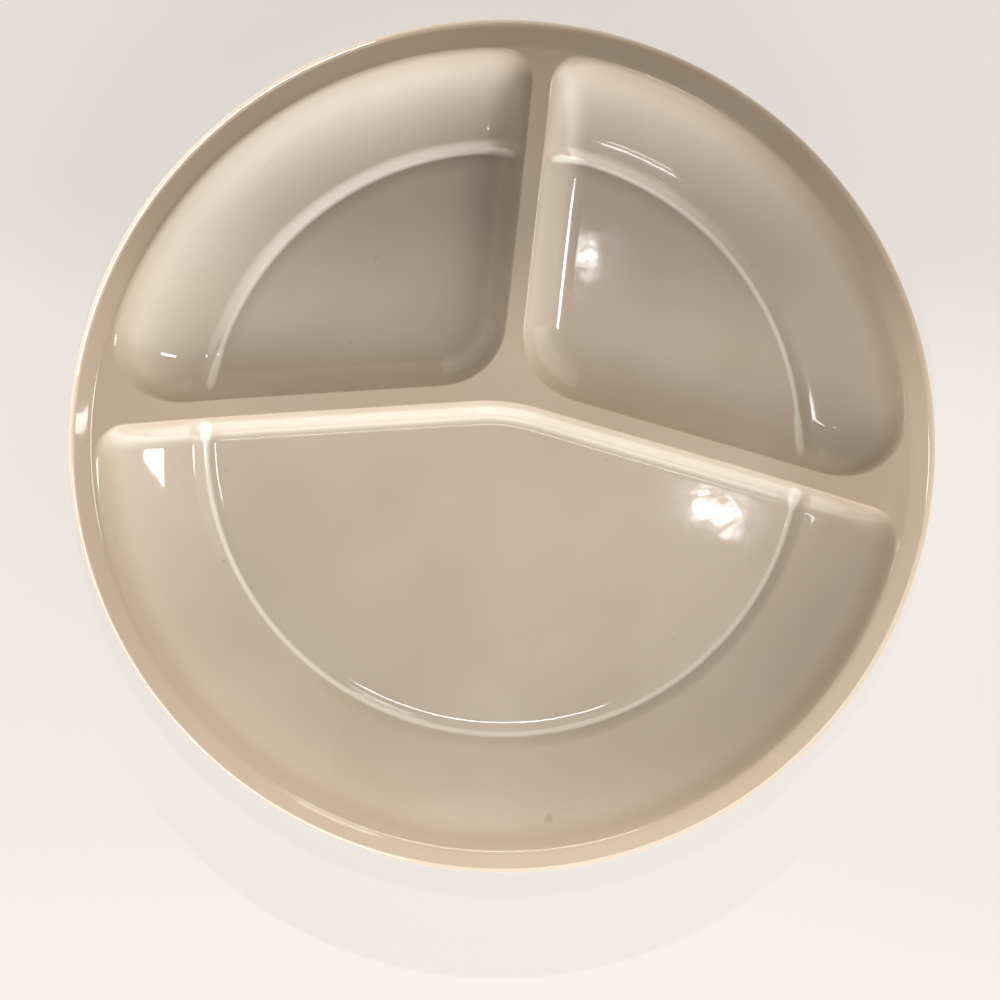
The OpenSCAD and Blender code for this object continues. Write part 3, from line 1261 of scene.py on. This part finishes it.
@dataclass(frozen=True)
class Glint:
    """Small lamp that shows only as a highlight in the glaze."""

    azimuth: float
    elevation: float
    size: tuple[float, float]
    radiance: float
    target: Place = (0.0, 0.0, 0.01)
    distance: float = 1.5

    def build(self, name: str) -> None:
        """Makes the lamp, its width level, and turns it to its target.

        Args:
            name: Name of the lamp.
        """
        data = area_light(name, self.size, math.pi * self.radiance * self.size[0] * self.size[1])
        target = Vector(self.target)
        lamp = aim(data, target + bearing(self.azimuth, self.elevation) * self.distance, target)
        lamp.visible_diffuse = False
        lamp.visible_camera = False


@dataclass(frozen=True)
class Strip:
    """Low strip lamp beside the plate that lights the outside of its lip."""

    azimuth: float
    power: float
    distance: float = 0.45
    height: float = 0.012
    size: tuple[float, float] = (0.60, 0.02)
    colour: Colour = (1.0, 0.97, 0.92)

    def build(self, name: str, floor: bpy.types.Object) -> None:
        """Makes the lamp, level with the rim and turned to it, with the floor left unlit.

        Args:
            name: Name of the lamp.
            floor: The floor.
        """
        data = area_light(name, self.size, self.power)
        data.color = self.colour
        level = Vector((0.0, 0.0, self.height))
        lamp = aim(data, level + bearing(self.azimuth, 0.0) * self.distance, level)
        lamp.visible_camera = False
        left_out = bpy.data.collections.new(f"{name}_left_out")
        left_out.objects.link(floor)
        left_out.collection_objects[0].light_linking.link_state = "EXCLUDE"
        lamp.light_linking.receiver_collection = left_out


@dataclass(frozen=True)
class Studio:
    """Pale floor under soft light, with its sizes in metres."""

    floor_size: float = 6.0
    floor_colour: Colour = (0.20, 0.195, 0.19)
    floor_shine: Colour = (0.645, 0.612, 0.575)
    backdrop: Colour = (0.80, 0.77, 0.72)
    glows: tuple[Glow, ...] = (
        Glow(-50.0, 4.0, 22.0, (7.3, 7.6, 7.6)),
        Glow(-96.0, 4.0, 20.0, (4.6, 4.0, 3.6)),
        Glow(30.0, 4.0, 20.0, (1.5, 1.3, 1.05)),
        Glow(180.0, 4.0, 18.0, (0.8, 0.65, 0.5)),
        Glow(50.0, 28.0, 20.0, (0.9, 0.72, 0.54)),
    )
    shutters: tuple[Shutter, ...] = (
        Shutter(-88.0, 74.0, power=80.0, edge=(0.0, 0.055, 0.009)),
        Shutter(92.0, 60.0, power=74.0, edge=(0.0, 0.056, 0.009), colour=(1.0, 0.95, 0.84)),
        Shutter(93.0, 30.0, power=370.0, edge=(0.0, -0.056, 0.009), blend=0.06),
    )
    gloss: float = 0.45
    rim_strips: tuple[Strip, ...] = (Strip(150.0, 3.4), Strip(-130.0, 1.2))
    glints: tuple[Glint, ...] = (
        Glint(-90.0, 66.0, (0.34, 0.022), 26.0),
        Glint(-103.0, 57.0, (0.14, 0.012), 18.0),
        Glint(-103.0, 55.0, (0.12, 0.008), 14.0),
        Glint(-12.0, 53.0, (0.14, 0.28), 16.0),
        Glint(-148.0, 67.0, (0.22, 0.045), 11.0),
        Glint(-158.0, 60.0, (0.03, 0.07), 9.0),
        Glint(-78.0, 79.0, (0.014, 0.008), 50.0, (0.070, -0.013, 0.009)),
        Glint(-80.0, 79.0, (0.008, 0.008), 50.0, (0.063, -0.009, 0.009)),
        Glint(-87.0, 82.0, (0.006, 0.012), 60.0, (0.018, 0.053, 0.009)),
    )

    def floor(self) -> bpy.types.Object:
        """Makes the floor, which shines by itself so that it is pale and even.

        Returns:
            The floor.
        """
        half = self.floor_size / 2
        corners = [(-half, -half, 0.0), (half, -half, 0.0), (half, half, 0.0), (-half, half, 0.0)]
        mesh = bpy.data.meshes.new("floor")
        mesh.from_pydata(corners, [], [(0, 1, 2, 3)])
        nodes = Nodes("floor")
        nodes.coat(
            Base_Color=(*self.floor_colour, 1.0), Roughness=1.0, Specular_IOR_Level=0.0,
            Emission_Color=(*self.floor_shine, 1.0), Emission_Strength=1.0,
        )
        mesh.materials.append(nodes.material)
        floor = bpy.data.objects.new("floor", mesh)
        bpy.context.scene.collection.objects.link(floor)
        return floor

    def build(self) -> None:
        """Makes the floor, the lamps and the world."""
        floor = self.floor()
        Room(self.glows, self.backdrop, self.gloss)
        for shutter in self.shutters:
            shutter.build()
        for number, strip in enumerate(self.rim_strips):
            strip.build(f"rim_strip_{number}", floor)
        for number, glint in enumerate(self.glints):
            glint.build(f"glint_{number}")
        bpy.context.scene.view_settings.view_transform = "Standard"


def dress(shell: Shell, name: str, node: str, material: bpy.types.Material) -> None:
    """Makes a piece of a shell and puts it in its node's place.

    Args:
        shell: The shell.
        name: Name of the piece.
        node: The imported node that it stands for.
        material: Its finish.
    """
    piece = shell.build(name)
    piece.data.materials.append(material)
    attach(piece, BODY)
    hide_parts(node)
    log.info("%s: %d faces", name, len(piece.data.polygons))


def main() -> None:
    """Builds the plate's regions in order, then the camera and the studio."""
    logging.basicConfig(level=logging.INFO, format="%(name)s: %(message)s")
    form = Form(Profile(), Ridges())
    fine = Fineness()
    glaze, clay = Glaze().material(), BareClay().material()
    View().camera(form.profile.rim_z)
    body = Body(form, fine)
    for well in WELLS:
        name = well.name.lower()
        dress(body.floor(well), f"{name}_floor_glazed", f"{name}_floor", glaze)
        dress(body.wall(well), f"{name}_wall_glazed", f"{name}_wall", glaze)
    for arm in ARMS:
        name = arm.name.lower()
        dress(body.divider(arm), f"{name}_divider_glazed", f"{name}_divider", glaze)
    dress(body.hub(), "divider_hub_glazed", "divider_hub", glaze)
    dress(Rim(form, fine).shell(), "rim_glazed", "rim", glaze)
    foot = Foot(form, fine)
    dress(foot.glazed(), "foot_ring_glazed", "foot_ring", glaze)
    dress(foot.bare(), "foot_ring_bare", "foot_ring", clay)
    Studio().build()


if __name__ == "__main__":
    main()
